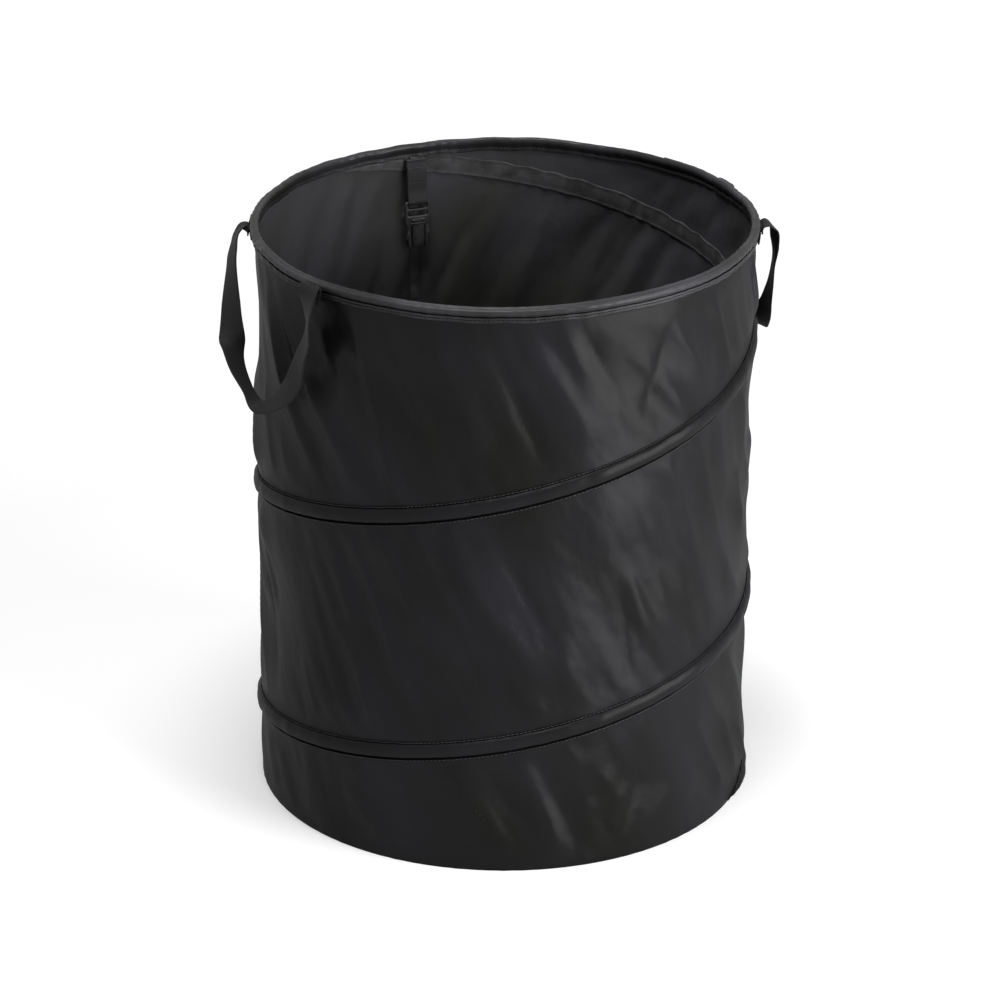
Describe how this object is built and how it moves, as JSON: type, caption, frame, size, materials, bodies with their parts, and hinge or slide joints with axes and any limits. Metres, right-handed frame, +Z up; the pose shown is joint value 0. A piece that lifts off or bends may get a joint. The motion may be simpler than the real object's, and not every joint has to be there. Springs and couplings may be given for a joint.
{
  "type": "pop-up trash can",
  "caption": "Collapsible round cloth bin held open by a sprung wire spiral, with webbing carry handles and closure straps.",
  "frame": {"origin": "on the floor under the middle of the base panel", "axes": "+Z up along the can's axis, -Y towards the front as pictured, +X to the right"},
  "size_m": [0.5344, 0.4808, 0.568],
  "materials": {
    "coated_cloth": "satin coated polyester plain weave",
    "binding_tape": "coated polyester binding, stitched",
    "webbing": "matt ribbed polypropylene webbing",
    "spring_steel": "black coated spring wire",
    "ferrule_steel": "crimped steel sleeve",
    "buckle_plastic": "moulded acetal, fine satin"
  },
  "bodies": {
    "base": {"base_panel": "coated_cloth", "base_hoop": "spring_steel", "base_ferrule": "ferrule_steel", "base_binding": "binding_tape", "wall_cloth": "coated_cloth", "side_seam_tape": "binding_tape", "spiral_wire": "spring_steel", "spiral_casing": "coated_cloth", "spiral_tape": "binding_tape", "base_strap_back": "webbing", "base_strap_front": "webbing", "buckle_socket_back": "buckle_plastic", "buckle_socket_front": "buckle_plastic"},
    "rim": {"rim_hoop": "spring_steel", "rim_ferrule": "ferrule_steel", "rim_binding": "binding_tape", "handle_left_back_tab": "webbing", "handle_left_front_tab": "webbing", "handle_right_back_tab": "webbing", "handle_right_front_tab": "webbing"},
    "handle_left": {"handle_left": "webbing"},
    "handle_right": {"handle_right": "webbing"},
    "closure_back": {"closure_strap_back": "webbing", "buckle_prongs_back": "buckle_plastic"},
    "closure_front": {"closure_strap_front": "webbing", "buckle_prongs_front": "buckle_plastic"}
  },
  "joints": [
    {"name": "pop_up", "type": "slide", "parent": "base", "child": "rim", "axis": [0, 0, 1], "range_m": [-0.51, 0], "stiffness_N_per_m": 60, "springref_m": 0.15, "deforming": ["wall_cloth", "side_seam_tape", "spiral_wire", "spiral_casing", "spiral_tape"]},
    {"name": "handle_left_swing", "type": "hinge", "parent": "rim", "child": "handle_left", "pos_m": [-0.21124, -0.07898, 0.5645], "axis": [-0.3502, 0.9367, 0], "range_deg": [0, 138]},
    {"name": "handle_right_swing", "type": "hinge", "parent": "rim", "child": "handle_right", "pos_m": [0.20522, 0.09352, 0.5645], "axis": [0.4147, -0.91, 0], "range_deg": [0, 138]},
    {"name": "closure_back_swing", "type": "hinge", "parent": "rim", "child": "closure_back", "pos_m": [-0.08802, 0.21249, 0.5525], "axis": [-0.9239, -0.3827, 0], "range_deg": [0, 82]},
    {"name": "closure_front_swing", "type": "hinge", "parent": "rim", "child": "closure_front", "pos_m": [0.08802, -0.21249, 0.5525], "axis": [0.9239, 0.3827, 0], "range_deg": [0, 82]}
  ],
  "couplings": [
    {"joint": "closure_back_swing", "follows": "pop_up", "rad_per_m": -2.7378},
    {"joint": "closure_front_swing", "follows": "pop_up", "rad_per_m": -2.7378}
  ]
}
